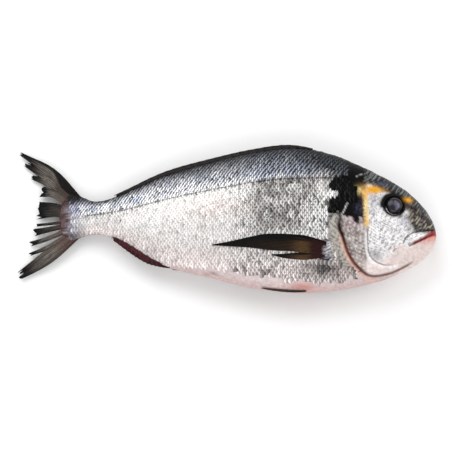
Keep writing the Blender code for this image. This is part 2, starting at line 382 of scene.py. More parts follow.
def skin_colours(x, y, z):
    """The markings, painted zone by zone from their places in the flank. Specks are read along slanted
    axes, so that they don't smear where the skin turns over the crown and the chin."""
    u, w = x + 0.5 * z, y + 0.9 * z
    back, belly, _ = rows_at(PROFILE, x)
    rise = (2 * y - back - belly) / (back - belly)
    patchy = noise(u, w, 7, 9)
    fine = noise(u, w, 8, 2.6)
    dots = noise(u, 0.8 * w, 9, 2.1)
    speck = smooth(0.15, 0.6, dots + 0.35 * patchy)
    behind = behind_gill(x, y)
    cheek, cheek_way, cheek_side = to_line(x, y, CHEEK_EDGE)
    gill, gill_way, _ = to_line(x, y, GILL_EDGE)
    gape, gape_way, gape_side = to_line(x, y, GAPE)
    jaw, _, _ = to_line(x, y, UPPER_JAW)
    bone, _, _ = to_line(x, y, BONE_LINE)
    nape_mark, _, _ = to_line(x, y, NAPE_LINE)
    eye_x, eye_y = x - EYE_CENTRE[0], y - EYE_CENTRE[1]
    eye = np.hypot(eye_x, eye_y)
    jaw_y, = rows_at(JAW_EDGE, x)
    crown_y, = rows_at(CROWN_EDGE, x)
    head = np.maximum(smooth(1.4, -0.6, behind), smooth(124, 140, x))
    throat = smooth(0.5, 2.5, behind) * smooth(15, 10, behind) * smooth(5, 0, y) * smooth(-46, -38, y)
    throat = throat * smooth(106, 99, x)
    below_mouth = jaw_y - y
    nape = smooth(-1.6, 1.6, y - crown_y + 1.4 * patchy) * smooth(80, 92, x)
    snout = smooth(131, 141, x + 2.6 * patchy + 0.3 * y) * smooth(-17.0, -13.0, y + 0.6 * fine)
    lower_jaw = smooth(-1, 2, below_mouth) * smooth(118, 132, x)
    lower_jaw = lower_jaw + smooth(-0.56, -0.8, rise) * smooth(98, 112, x)
    blotch = smooth(77, 82, x - 0.1 * y + 2 * patchy + 1.5 * fine) * smooth(105.8, 103.4, x + 0.7 * fine)
    blotch = blotch * smooth(-8.5, -4.0, y + 2.4 * patchy + 1.4 * fine + 0.25 * (x - 96))
    gold_bar = bump(x + 0.35 * fine, 105.7 - 0.02 * y, 1.75) * smooth(-15, -8, y) * smooth(19, 15, y)
    gold_patch = spot(x, y, 112.0, 18.4, 7.03, 3.135 - 0.114 * (x - 111.4))
    tan_patch = spot(x, y, 101.4, 17.4, 3.61, 3.42)
    gold_spot = spot(x, y, 138.6, 11.6, 3.23, 2.28)
    brow = smooth(13.2, 9.4, eye) * smooth(-1.5, 2.6, eye_y - 0.25 * eye_x) + 1.2 * bump(eye, 8.0, 1.6)
    tail_root = smooth(-112, -118, x)
    rust = 0.8 * smooth(-122, -128, x + 3 * noise(0.2 * x, y, 14, 5)) + 0.6 * tail_root * smooth(-7, -12, y)
    cream = noise(u - 0.4 * w, 0.7 * w, 12, 3.8)
    cheek_specks = speck * smooth(-0.74, -0.5, rise) * (1 - 0.85 * smooth(0, 3, below_mouth) * (x > 130))
    # Painted highlight: white glints along the lower lip
    shine = bump(gape, 2.8, 0.8) * (gape_side < 0) * smooth(0.0, 0.5, fine)
    bone_marks = 0.6 * bump(bone, 0, 0.4) * (1 + 0.5 * fine) + 0.3 * bump(nape_mark, 0, 0.4) * (1 + fine)
    groove = smooth(0.25, 0.34, cheek_way) * smooth(0.99, 0.8, cheek_way)
    rim = smooth(0.2, 0.3, gill_way) * smooth(0.75, 0.6, gill_way)
    upper_gill = smooth(0.08, 0.14, gill_way) * smooth(0.36, 0.24, gill_way)
    return tinted(UNDER_SCALE, [
        (BACK_SLATE, smooth(0.0, 0.5, rise)),
        (BELLY_PINK, smooth(-0.66, -0.8, rise) * (0.9 + 0.1 * fine)),
        (BELLY_RED, 0.7 * spot(x, y, 57, -56, 10, 3) + 0.25 * smooth(-0.93, -1.0, rise)),
        (TAIL_SILVER, tail_root * (0.9 + 0.2 * fine)),
        (BLOTCH_BLACK, tail_root * (smooth(10, 17, y) + 0.4 * speck)),
        (FIN_RUST, rust),
        (NOSTRIL_BROWN, 0.6 * smooth(-119, -126, x) * smooth(-0.1, 0.5, noise(0.15 * x, y, 15, 2.4))),
        (GILL_RED, spot(x, y, -12.8, -45.2, 2.6, 0.9)),
        (CHEEK_WHITE, head * (0.88 + 0.12 * fine)),
        (OPERCLE_ROSE, head * smooth(107.2, 104.6, x) * (0.85 + 0.2 * patchy)),
        (OPERCLE_VIOLET, head * 0.7 * spot(x, y, 95, -9.5, 7, 3)),
        (CHEEK_WHITE, head * 0.5 * smooth(0.1, 0.8, fine) * smooth(107, 104, x)),
        (NAPE_VIOLET, head * 0.35 * spot(x, y, 111, 8, 5, 8)),
        (NAPE_VIOLET, head * 0.30 * spot(x, y, 135, -8, 6, 5)),
        (JAW_PINK, lower_jaw * head * 0.9),
        (GROOVE_GREY, head * 0.7 * cheek_specks),
        (GROOVE_GREY, head * 0.55 * spot(x, y, 112.6, -33, 5, 4)),
        (THROAT_OLIVE, throat),
        (GROOVE_GREY, throat * 0.75 * smooth(0.0, 0.5, dots)),
        (SNOUT_OLIVE, snout * (0.93 + 0.1 * fine)),
        (NOSTRIL_BROWN, 0.85 * spot(x, y, 142.4, 4.4, 3.6, 3.0) + 0.5 * snout * smooth(0.2, 0.8, patchy)),
        (NAPE_DARK, nape),
        (NAPE_FLECK, nape * 0.75 * smooth(0.0, 0.8, dots + 0.3 * patchy)),
        (NAPE_VIOLET, 0.7 * spot(x, y, 118.5, 24.2, 5, 1.8) * (0.7 + 0.4 * fine)),
        (BLOTCH_BLACK, 1.1 * blotch),
        (NAPE_VIOLET, blotch * 0.2 * spot(x, y, 100, 3, 3, 5) * (1 + fine)),
        (BLOTCH_BLACK, brow),
        (PALE_GOLD, tan_patch * (0.7 + 0.3 * fine) + gold_bar * (0.95 + 0.2 * fine)),
        (GOLD, gold_patch * (1.4 + 0.3 * fine) + gold_spot * (1.2 + 0.2 * fine)),
        (GOLD, gold_bar * (0.1 + 0.3 * fine + 0.6 * smooth(6, 16, y) + 0.6 * smooth(-4, -10, y))),
        (FLECK_CREAM, 0.7 * snout * smooth(0.3, 0.8, cream) * smooth(-14, -9, y) * smooth(7, 2, y)),
        (BONE_AND_GLINT_WHITE, bone_marks),
        (BONE_AND_GLINT_WHITE, 0.85 * bump(cheek, 1.5, 0.9) * (cheek_side > 0) * smooth(0.25, 0.4, cheek_way)),
        (GROOVE_GREY, 0.9 * bump(cheek, 0, 0.5) * groove),
        (RIM_ORANGE, 0.9 * bump(behind, 2.2, 1.1) * rim),
        (GILL_RED, bump(gill, 0.2, 1.05) * smooth(0.12, 0.2, gill_way) * smooth(0.7, 0.5, gill_way)),
        (GILL_RED, 0.9 * bump(gill, 0, 0.7) * smooth(0.45, 0.6, gill_way) * smooth(1.0, 0.9, gill_way)),
        (BLOTCH_BLACK, bump(behind, -0.2, 1.3) * upper_gill),
        (BLOTCH_BLACK, 0.9 * bump(jaw, 0, 0.5)),
        (BONE_AND_GLINT_WHITE, 0.5 * bump(gape, 2.8, 1.2) * (gape_side > 0) * smooth(0.3, 0.6, gape_way)),
        (LIP_PINK, 0.9 * bump(gape, 2.2, 2.6) * (gape_side < 0) * smooth(0.85, 0.2, gape_way)),
        (LIP_RED, 0.85 * bump(gape, 1.2, 1.3) * (gape_side > 0) * smooth(0.6, 0.2, gape_way)),
        (LIP_RED, bump(gape, 0.1, 1.2) * smooth(1.0, 0.8, gape_way)),
        # Painted highlight: white glints on the lower lip
        (BONE_AND_GLINT_WHITE, 0.8 * shine * smooth(0.5, 0.2, gape_way)),
        (BLOTCH_BLACK, 0.75 * bump(gape, 0.0, 0.5) * smooth(0.3, 0.6, gape_way)),
        (BLOTCH_BLACK, spot(x, y, *NOSTRIL, 1.1, 1.1)),
        (BLOTCH_BLACK, 0.9 * spot(x, y, *REAR_NOSTRIL, 0.9, 0.9)),
    ])


def make_skin(material):
    """Ovals from snout to tail, closed by a point at each end, the relief along the section's normal."""
    place = np.concatenate([
        np.linspace(0, HEAD_SHARE, HEAD_RINGS, endpoint=False),
        np.linspace(HEAD_SHARE, 1, TRUNK_RINGS),
    ])
    known = np.linspace(0, 1, PROFILE_STEPS)
    x, back, belly, half = (np.interp(place, known, column)[:, None] for column in PROFILE.T)
    angle = np.linspace(0, 2 * np.pi, SKIN_SIDES, endpoint=False)
    rise = np.sin(angle)
    y = (back + belly) / 2 + (back - belly) / 2 * rise
    side = np.where(np.cos(angle) >= 0, 1.0, -1.0)
    z = spine_height(x) + half * side * thickness_share(rise)
    x = np.broadcast_to(x, y.shape)
    out_y, out_z = np.sin(angle) * half, np.cos(angle) * (back - belly) / 2
    length = np.hypot(out_y, out_z)
    relief = skin_relief(x, y) * smooth(0, 4, SNOUT_X - x)
    z = np.maximum(z + relief * out_z / length, 0.0)
    y = y + relief * out_y / length
    points = np.stack([x, y, z], axis=-1)
    colours = skin_colours(x, y, z)
    rings, around = x.shape
    ends = np.stack([points[0].mean(axis=0) + (0.15, 0, 0), points[-1].mean(axis=0) - (0.6, 0, 0)])
    end_colours = np.stack([colours[0].mean(axis=0), colours[-1].mean(axis=0)])
    faces = grid_faces(rings, around, closed=True).tolist()
    snout_end, tail_end = rings * around, rings * around + 1
    last_ring = (rings - 1) * around
    pairs = [(turn, (turn + 1) % around) for turn in range(around)]
    faces += [(snout_end, a, b) for a, b in pairs]
    faces += [(tail_end, last_ring + b, last_ring + a) for a, b in pairs]
    all_points = np.vstack([points.reshape(-1, 3), ends])
    all_colours = np.vstack([colours.reshape(-1, 4), end_colours])
    return finish_mesh("head_and_trunk", all_points, faces, all_colours, material)


def add_wander(tree, where, grain, detail, low, high):
    """Noise of this grain in metres, and a value that it moves between low and high."""
    film = tree.nodes.new("ShaderNodeTexNoise")
    film.inputs["Scale"].default_value = 1 / grain
    film.inputs["Detail"].default_value = detail
    value = tree.nodes.new("ShaderNodeMapRange")
    for socket, limit in (("From Min", 0.3), ("From Max", 0.7), ("To Min", low), ("To Max", high)):
        value.inputs[socket].default_value = limit
    tree.links.new(where.outputs["Object"], film.inputs["Vector"])
    tree.links.new(film.outputs["Fac"], value.inputs["Value"])
    return film.outputs["Fac"], value.outputs["Result"]


def add_tint(tree, shader, spread, grain):
    """The piece's own tint, made a little lighter and darker by noise of the given grain in metres."""
    tint = tree.nodes.new("ShaderNodeAttribute")
    tint.attribute_name = "tint"
    where = tree.nodes.new("ShaderNodeTexCoord")
    _, change = add_wander(tree, where, grain, 3.0, 1 - spread, 1 + spread)
    mixed = tree.nodes.new("ShaderNodeVectorMath")
    mixed.operation = "SCALE"
    tree.links.new(tint.outputs["Color"], mixed.inputs[0])
    tree.links.new(change, mixed.inputs["Scale"])
    tree.links.new(mixed.outputs["Vector"], shader.inputs["Base Color"])
    return where


def add_wet_gloss(tree, shader, where, low, high, grain, bump_depth):
    """Uneven gloss: roughness wanders between two values, and a faint bump breaks up the shine."""
    film, roughness = add_wander(tree, where, grain, 2.0, low, high)
    relief = tree.nodes.new("ShaderNodeBump")
    relief.inputs["Strength"].default_value = 0.5
    relief.inputs["Distance"].default_value = bump_depth
    tree.links.new(roughness, shader.inputs["Roughness"])
    tree.links.new(film, relief.inputs["Height"])
    tree.links.new(relief.outputs["Normal"], shader.inputs["Normal"])


skin_material, skin_tree, skin_shader = new_material(
    "wet_skin", SILVER, 0.4, Metallic=0.2, Specular_IOR_Level=0.04,
    Coat_Weight=0.1, Coat_Roughness=0.12, Subsurface_Weight=0.05, Subsurface_Scale=0.001,
)
where = add_tint(skin_tree, skin_shader, 0.14, 0.0022)
add_wet_gloss(skin_tree, skin_shader, where, 0.34, 0.56, 0.006, 0.0004)
skin = make_skin(skin_material)
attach(skin, "root")
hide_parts("fish")

# ----------------------------------------------------------------------
# Scales: thin horny plates in rows along the lateral line, each rooted in the skin and lapping over the
# next towards the tail. Silver on the flank, slate at the back, with bare pinkish skin along the keel.
# ----------------------------------------------------------------------

SCALE_FRONT_X, SCALE_REAR_X = 101.0, -124.0
SCALE_PITCH_FRONT, SCALE_PITCH_REAR = 3.3, 2.45
# Rows above and below the lateral line, their spacing as a share of the pitch, and the roots' unevenness
SCALE_ROWS = (-40, 28)
ROW_SHARE = 1.4
ROOT_UNEVENNESS = (0.045, 0.035)
LATERAL_LINE = np.array([
    (104.0, 27.0), (90.0, 27.6), (76.0, 27.0), (58.0, 26.6), (42.0, 26.0), (17.0, 23.4), (-15.0, 18.0),
    (-40.0, 14.0), (-62.0, 9.6), (-80.0, 5.9), (-98.0, 3.8), (-116.0, 3.2), (-128.0, 3.4),
])
CHART_STEP, CHART_MARGIN = 1.0, 8.0
CHART_LOW, CHART_HIGH = -90.0, 60.0
# A plate's length and half width as shares of the pitch, and how far its free edge and its root stand out
PLATE_LENGTH, PLATE_WIDTH = 1.45, 0.868
PLATE_TILT, PLATE_ROOT = 0.38, -0.12
# Bare skin: x and y of the middle of the pectoral fin's root, and its radius
BARE_ROOT = (75.0, -30.0, 8.5)
# Bare skin: x, and how wide a strip along the keel has no scales
BARE_STRIP = np.array([(92.0, 5.0), (60.0, 6.5), (35.0, 8.5), (0.0, 8.0), (-20.0, 4.0), (-45.0, 1.5)])


def flank_chart(side):
    """The flank laid flat: the point for each x, and each way v up the skin from the lateral line."""
    x = np.arange(SCALE_REAR_X - CHART_MARGIN, SCALE_FRONT_X + CHART_MARGIN, CHART_STEP)
    v = np.arange(CHART_LOW, CHART_HIGH, CHART_STEP)
    rise = np.sin(np.linspace(-np.pi / 2, np.pi / 2, 241))
    back, belly, half = rows_at(PROFILE, x)
    y = ((back + belly) / 2)[:, None] + ((back - belly) / 2)[:, None] * rise
    z = np.maximum(spine_height(x)[:, None] + side * half[:, None] * thickness_share(rise), 0)
    steps = np.hypot(np.diff(y), np.diff(z))
    way = np.concatenate([np.zeros((len(x), 1)), np.cumsum(steps, axis=1)], axis=1)
    line_y, = rows_at(LATERAL_LINE, x)
    points = np.empty((len(x), len(v), 3))
    edge = np.empty((len(x), 2))
    for i in range(len(x)):
        at_line = np.interp(line_y[i], y[i], way[i])
        points[i, :, 0] = x[i]
        points[i, :, 1] = np.interp(v, way[i] - at_line, y[i])
        points[i, :, 2] = np.interp(v, way[i] - at_line, z[i])
        edge[i] = way[i, 0] - at_line, way[i, -1] - at_line
    return x, v, points, edge


def read_chart(chart, x, v):
    """Points and outward normals of the chart at any x and v, weighed between its four nearest points."""
    chart_x, chart_v, points, _ = chart
    i = np.clip((x - chart_x[0]) / CHART_STEP, 0, len(chart_x) - 1.001)
    j = np.clip((v - chart_v[0]) / CHART_STEP, 0, len(chart_v) - 1.001)
    a, b = i.astype(int), j.astype(int)
    s, t = (i - a)[..., None], (j - b)[..., None]
    p00, p10, p01, p11 = points[a, b], points[a + 1, b], points[a, b + 1], points[a + 1, b + 1]
    place = (p00 * (1 - s) + p10 * s) * (1 - t) + (p01 * (1 - s) + p11 * s) * t
    along = (p10 - p00) * (1 - t) + (p11 - p01) * t
    up = (p01 - p00) * (1 - s) + (p11 - p10) * s
    normal = np.cross(along, up)
    return place, normal / np.maximum(np.linalg.norm(normal, axis=-1, keepdims=True), 1e-9)


def scale_roots(chart, draw):
    """Places of the scales: columns half a pitch apart, every second one shifted by half a row. The pitch
    falls from front to rear."""
    columns = [SCALE_FRONT_X]
    while columns[-1] > SCALE_REAR_X:
        share = (SCALE_FRONT_X - columns[-1]) / (SCALE_FRONT_X - SCALE_REAR_X)
        pitch = SCALE_PITCH_FRONT + (SCALE_PITCH_REAR - SCALE_PITCH_FRONT) * share
        columns.append(columns[-1] - pitch / 2)
    columns = np.array(columns)
    pitch = -np.gradient(columns) * 2
    rows = np.arange(*SCALE_ROWS)
    x = np.broadcast_to(columns[:, None], (len(columns), len(rows)))
    size = np.broadcast_to(pitch[:, None], x.shape)
    v = (rows + 0.5 * (np.arange(len(columns)) % 2)[:, None]) * size * ROW_SHARE
    x = x + draw.normal(0, ROOT_UNEVENNESS[0], x.shape) * size
    v = v + draw.normal(0, ROOT_UNEVENNESS[1], x.shape) * size
    low, high = (np.interp(x, chart[0], column) for column in chart[3].T)
    inside = (v > low + 1.0) & (v < high - 1.0)
    return x[inside], v[inside], size[inside]


SCALE_SILVER = srgb(234, 230, 228)
SCALE_BRIGHT = srgb(250, 248, 246)
SCALE_SLATE = srgb(86, 90, 100)
SCALE_BACK = srgb(44, 46, 50)
SCALE_GREY = srgb(64, 62, 61)
SCALE_OLIVE = srgb(150, 144, 132)
SCALE_BLACK = srgb(8, 8, 9)
SCALE_PINK = srgb(206, 190, 188)
SCALE_ROSE = srgb(214, 192, 184)
SCALE_VIOLET = srgb(132, 134, 156)
# Places of a plate's points: p runs from its root to its free edge, and q across it
PLATE_ROWS = (0.0, 0.5, 0.66, 0.79, 0.9, 1.0)
PLATE_COLUMNS = (-1.0, -0.6, 0.0, 0.6, 1.0)


def scale_colours(x, y, v, line_gap, p, q, draw):
    """A plate in the colour of its place, with a painted highlight: a pale crescent before its free edge.
    Its free edge and root are darker, partly the scale's own dark rim and partly painted shade where the
    plates lap. A thin dark line runs through the plates along the lateral line."""
    back, belly, _ = rows_at(PROFILE, x)
    rise = (2 * y - back - belly) / (back - belly)
    patchy = noise(x, y, 21, 26)
    above = smooth(-1.5, 4.0, v)
    high = smooth(0.5, 0.9, rise)
    luck = draw.uniform(0, 1, (len(x), 1))
    blotch = smooth(74, 84, x - 0.1 * y + 4 * patchy) * smooth(-10, -2, y + 2 * patchy) * smooth(35, 25, y)
    # Painted dark reflection in the silver scales below the pectoral fin's root
    fin_dark_reflection = spot(x, y, 74, -44, 12, 6.5)
    keel_row = bump(y - belly, 9.5 + 2 * patchy, 3.0) * smooth(0, 8, x) * smooth(48, 34, x)
    # Painted reflection on the silver flank: grey is a darker zone of it, and white is a bright patch just
    # tailward of the blotch
    grey = smooth(2, 30, x) * smooth(-26, -6, y) * smooth(76, 62, x)
    white = spot(x, y, 71, -2, 7, 13)
    rosy = spot(x, y, -8, 4, 22, 9)
    tail = smooth(-104, -117, x)
    calm = smooth(1, -7, v) * smooth(16, -6, x)
    colours = tinted(SCALE_SILVER, [
        # Painted reflection: the darker grey zone of the silver flank
        (SCALE_GREY, grey * (0.85 + 0.3 * patchy)),
        (SCALE_OLIVE, 0.75 * smooth(78, 85, x) * smooth(-4, -12, y)),
        # Painted reflection: the white patch beside the blotch. The rest of this layer brightens the silver
        # in soft patches.
        (SCALE_BRIGHT, 0.9 * white + 0.35 * smooth(0.0, 0.8, patchy)),
        (SCALE_ROSE, 0.4 * rosy),
        (SCALE_PINK, 0.6 * smooth(-0.35, -0.8, rise)),
        (SCALE_SLATE, above * (0.85 + 0.1 * patchy)),
        (SCALE_BACK, 0.75 * high + 0.6 * smooth(40, 90, x) * smooth(0.3, 0.6, rise)),
        (SCALE_BLACK, smooth(0.86, 0.95, rise) * 0.8),
        (SCALE_VIOLET, 0.5 * tail),
        (SCALE_BLACK, tail * (smooth(0.35, 0.8, rise) + 0.7 * smooth(-0.6, -0.9, rise))),
        (SCALE_BLACK, 1.04 * smooth(0.3, 0.65, blotch + 0.6 * luck - 0.3)),
        # Painted dark reflection below the pectoral fin, and the real row of dark specks along the keel
        (SCALE_BLACK, 0.9 * fin_dark_reflection * (0.7 + 0.5 * luck) + 0.8 * keel_row * smooth(0.75, 0.35, luck)),
    ])
    plate = 1 + (0.20 - 0.12 * calm) * draw.standard_normal((len(x), 1))
    # Painted light on each plate. crescent is a painted highlight, a glint before the free edge, and lit
    # sets how bright it is. dark is painted shade at the root, where the plate comes out from under its
    # neighbour, and at the free edge, laid over the scale's own dark rim. gap sets how deep it is.
    crescent = np.interp(p, PLATE_ROWS, (0.0, 0.0, 0.25, 1.0, 0.4, 0.0)) * (1 - 0.4 * q**2)
    dark = np.interp(p, PLATE_ROWS, (1.0, 0.9, 0.6, 0.0, 0.4, 1.0)) + 0.4 * q**6
    lit = 0.3 + 4.8 * above * (1 - 0.5 * high) * (1 - 0.75 * tail) + 1.2 * grey
    gap = 0.62 - 0.27 * calm + 0.3 * white
    scored = 1 - bump(line_gap, 0, 1.0) * (0.75 + 0.15 * np.sin(2.7 * x)) * (1 - tail)
    # Painted sheen: a little extra light on the crescent of some plates, which shows on the black blotch
    # too
    sheen = 0.03 * crescent * luck
    shade = plate * (1 + lit * crescent - gap * dark) * scored
    colours[..., :3] = np.clip(colours[..., :3] * shade[..., None] + sheen[..., None], 0, 1)
    return colours


def make_scales(side, word, material):
    """Each plate is a small crowned grid: straight at its root, round and tipped up at its free edge."""
    draw = np.random.default_rng(30 + side)
    chart = flank_chart(side)
    x, v, size = scale_roots(chart, draw)
    place, _ = read_chart(chart, x, v)
    y = place[:, 1]
    _, belly, _ = rows_at(PROFILE, x)
    bare_throat = 3.4 + 5.0 * smooth(4, -4, y) * smooth(-46, -40, y)
    head = np.where(y < 9, behind_gill(x, y) < bare_throat, x > 100 - 0.25 * (y - 9))
    fin_root = np.hypot(x - BARE_ROOT[0], y - BARE_ROOT[1]) < BARE_ROOT[2]
    bare_strip, = rows_at(BARE_STRIP, x)
    keel = (y - belly < bare_strip + 0.9 * draw.standard_normal(len(x))) & (x > -42)
    rear = x < -120.0 + 1.3 * draw.standard_normal(len(x))
    kept = ~(head | fin_root | keel | rear)
    x, v, size, y = x[kept], v[kept], size[kept], y[kept]
    p = np.array(PLATE_ROWS)[:, None]
    q = np.array(PLATE_COLUMNS)[None, :]
    length, width = PLATE_LENGTH * size[:, None, None], PLATE_WIDTH * size[:, None, None]
    back_along = length * (-0.45 + p * (1 - 0.26 * q**2))
    across = width * q * (1 - 0.12 * (1 - p)) * (1 - 0.18 * p)
    turn = draw.normal(0, 0.08, (len(x), 1, 1))
    slant = 0.42 * smooth(-4, 8, v)[:, None, None]
    at_x = x[:, None, None] - back_along + (turn + slant) * across
    at_v = v[:, None, None] + across + turn * back_along
    points, normal = read_chart(chart, at_x, at_v)
    tilt = PLATE_TILT * (1 + 0.35 * draw.standard_normal((len(x), 1, 1)))
    roll = 0.07 * draw.standard_normal((len(x), 1, 1))
    lift = PLATE_ROOT + tilt * p + 0.08 * (1 - q**2) + roll * q
    points = points + side * normal * np.maximum(lift, -0.3)[..., None]
    points[..., 2] = np.maximum(points[..., 2], 0.02)
    p, q = (part.reshape(1, -1) for part in np.broadcast_arrays(p, q))
    line_gap = np.broadcast_to(at_v, points.shape[:3]).reshape(len(x), -1)
    x_at, y_at, v_at = (np.broadcast_to(value[:, None], line_gap.shape) for value in (x, y, v))
    colours = scale_colours(x_at, y_at, v_at, line_gap, p, q, draw)
    cell = grid_faces(len(PLATE_ROWS), len(PLATE_COLUMNS))
    faces = (cell[None] + p.size * np.arange(len(x))[:, None, None]).reshape(-1, 4)
    if side == LEFT:
        faces = faces[:, ::-1]
    return finish_mesh(f"scales_{word}", points, faces, colours, material)


scale_material, scale_tree, scale_shader = new_material(
    "silver_scale", SILVER, 0.35, Metallic=0.35, Specular_IOR_Level=0.04,
    Coat_Weight=0.08, Coat_Roughness=0.12,
)
where = add_tint(scale_tree, scale_shader, 0.10, 0.004)
add_wet_gloss(scale_tree, scale_shader, where, 0.28, 0.48, 0.009, 0.0002)
for side, word in SIDES:
    scales = make_scales(side, word, scale_material)
    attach(scales, "root")
    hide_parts("fish")

# ----------------------------------------------------------------------
# Eyes: a wet ball in a dark ring of skin, one on each side. The dark iris surrounds a wide black pupil
# under a clear bulging cornea, which the ball's gloss coat stands for. A painted grey-violet reflection
# covers most of the pupil.
# ----------------------------------------------------------------------

IRIS_BLACK = srgb(20, 18, 22)
IRIS_RING = srgb(96, 88, 96)
# Grey-violet painted over the pupil as the reflection of the surroundings in the cornea
PUPIL_REFLECTION = srgb(92, 88, 108)
PUPIL_DARK = srgb(26, 22, 30)
EYE_DEPTH, EYE_BULGE = 5.0, 1.1
EYE_RINGS, EYE_SIDES = 60, 72


def make_eyeball(side, word, material):
    """A flattened ball from pole to pole, its colours set by the distance from its own centre."""
    x0, y0 = EYE_CENTRE
    z0 = float(flank(np.array(x0), np.array(y0), side)) - side * (EYE_DEPTH - EYE_BULGE)
    fall = np.linspace(0.0, np.pi, EYE_RINGS)[:, None]
    turn = np.linspace(0, 2 * np.pi, EYE_SIDES, endpoint=False)[None, :]
    reach = np.sin(fall) + 0 * turn
    x = x0 + EYE_RADIUS * reach * np.cos(turn)
    y = y0 + EYE_RADIUS * reach * np.sin(turn)
    z = z0 + side * EYE_DEPTH * np.cos(fall) + 0 * turn
    eye_mottle = noise(x, y, 41, 5)
    left = reach * (np.cos(turn) + 0.15 * np.sin(turn)) + 0.06 * eye_mottle
    colours = tinted(IRIS_BLACK, [
        (IRIS_RING, 0.5 * bump(reach, 0.80, 0.05) * smooth(0.0, 0.8, eye_mottle)),
        # Painted reflection over most of the pupil; the pupil's own black shows only at its left
        (PUPIL_REFLECTION, smooth(0.60, 0.50, reach) * (0.95 + 0.1 * eye_mottle)),
        (PUPIL_DARK, smooth(0.68, 0.5, reach) * smooth(0.12, -0.1, left)),
        (IRIS_BLACK, smooth(0.9, 0.98, reach)),
    ])
    faces = grid_faces(*x.shape, closed=True)
    if side == LEFT:
        faces = faces[:, ::-1]
    return finish_mesh(f"eyeball_{word}", np.stack([x, y, z], axis=-1), faces, colours, material)


eye_material, eye_tree, eye_shader = new_material(
    "wet_eye", IRIS_BLACK, 0.3, Specular_IOR_Level=0.2, Coat_Weight=0.35, Coat_Roughness=0.1,
)
add_tint(eye_tree, eye_shader, 0.1, 0.0015)
for side, word in SIDES:
    eyeball = make_eyeball(side, word, eye_material)
    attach(eyeball, "root")
    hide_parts(f"eye_{word}")

# ----------------------------------------------------------------------
# Tail fin: horny rays that branch towards their tips, joined by thin web. It is split to the root in blades
# of a few rays each, and frayed at the ends. Dark olive, black at the tips and rusty red at the root.
# ----------------------------------------------------------------------

TAIL_ROOT_X = -115.0
BLADE_STEPS, RAY_STEPS = 40, 6
# y and width at the root, x, y and width half way, x, y and width at the tip, share frayed away, rays
TAIL_BLADES = (
    (17.4, 5.4, -137.0, 40.2, 7.6, -162.8, 57.0, 2.4, 0.05, 6),
    (14.6, 5.4, -137.4, 35.8, 8.8, -158.6, 48.8, 3.8, 0.12, 7),
    (12.4, 5.4, -137.2, 31.0, 7.0, -153.2, 37.8, 3.0, 0.12, 6),
    (9.8, 5.0, -134.4, 22.9, 7.0, -145.4, 25.6, 8.6, 0.16, 7),
    (4.6, 7.4, -133.0, 9.8, 11.0, -148.4, 10.4, 14.4, 0.16, 10),
    (0.8, 3.4, -137.0, -0.9, 2.3, -148.0, -1.6, 2.2, 0.02, 2),
    (-0.8, 3.8, -137.0, -5.2, 4.4, -150.2, -7.4, 5.8, 0.10, 4),
    (-2.8, 3.8, -138.0, -12.2, 3.8, -153.4, -16.6, 3.8, 0.16, 3),
    (-4.8, 3.8, -137.0, -18.6, 3.8, -153.2, -25.2, 2.4, 0.06, 3),
    (-7.4, 5.0, -137.0, -24.0, 8.4, -161.0, -40.2, 3.0, 0.08, 7),
    (-10.4, 5.0, -137.4, -28.8, 7.4, -160.4, -44.0, 2.4, 0.03, 6),
)
FIN_OLIVE = srgb(92, 85, 78)
FIN_DARK = srgb(44, 41, 39)
FIN_BLACK = srgb(5, 5, 6)
RAY_PALE = srgb(130, 124, 118)


def closed_leaf(name, upper, lower, colours, material):
    """A thin closed leaf between an upper and a lower sheet of points, which meet round its rim."""
    rows, columns = upper.shape[:2]
    points = np.concatenate([upper, lower[:, ::-1]], axis=1)
    faces = grid_faces(rows, 2 * columns, closed=True).tolist()
    left = np.arange(columns - 1)
    right = 2 * columns - 2 - left
    for start, turn in ((0, 1), ((rows - 1) * 2 * columns, -1)):
        faces += (np.stack([left, left + 1, right, right + 1], axis=-1) + start)[:, ::turn].tolist()
    colours = np.concatenate([colours, colours[:, ::-1]], axis=1)
    return finish_mesh(name, points, faces, colours, material)


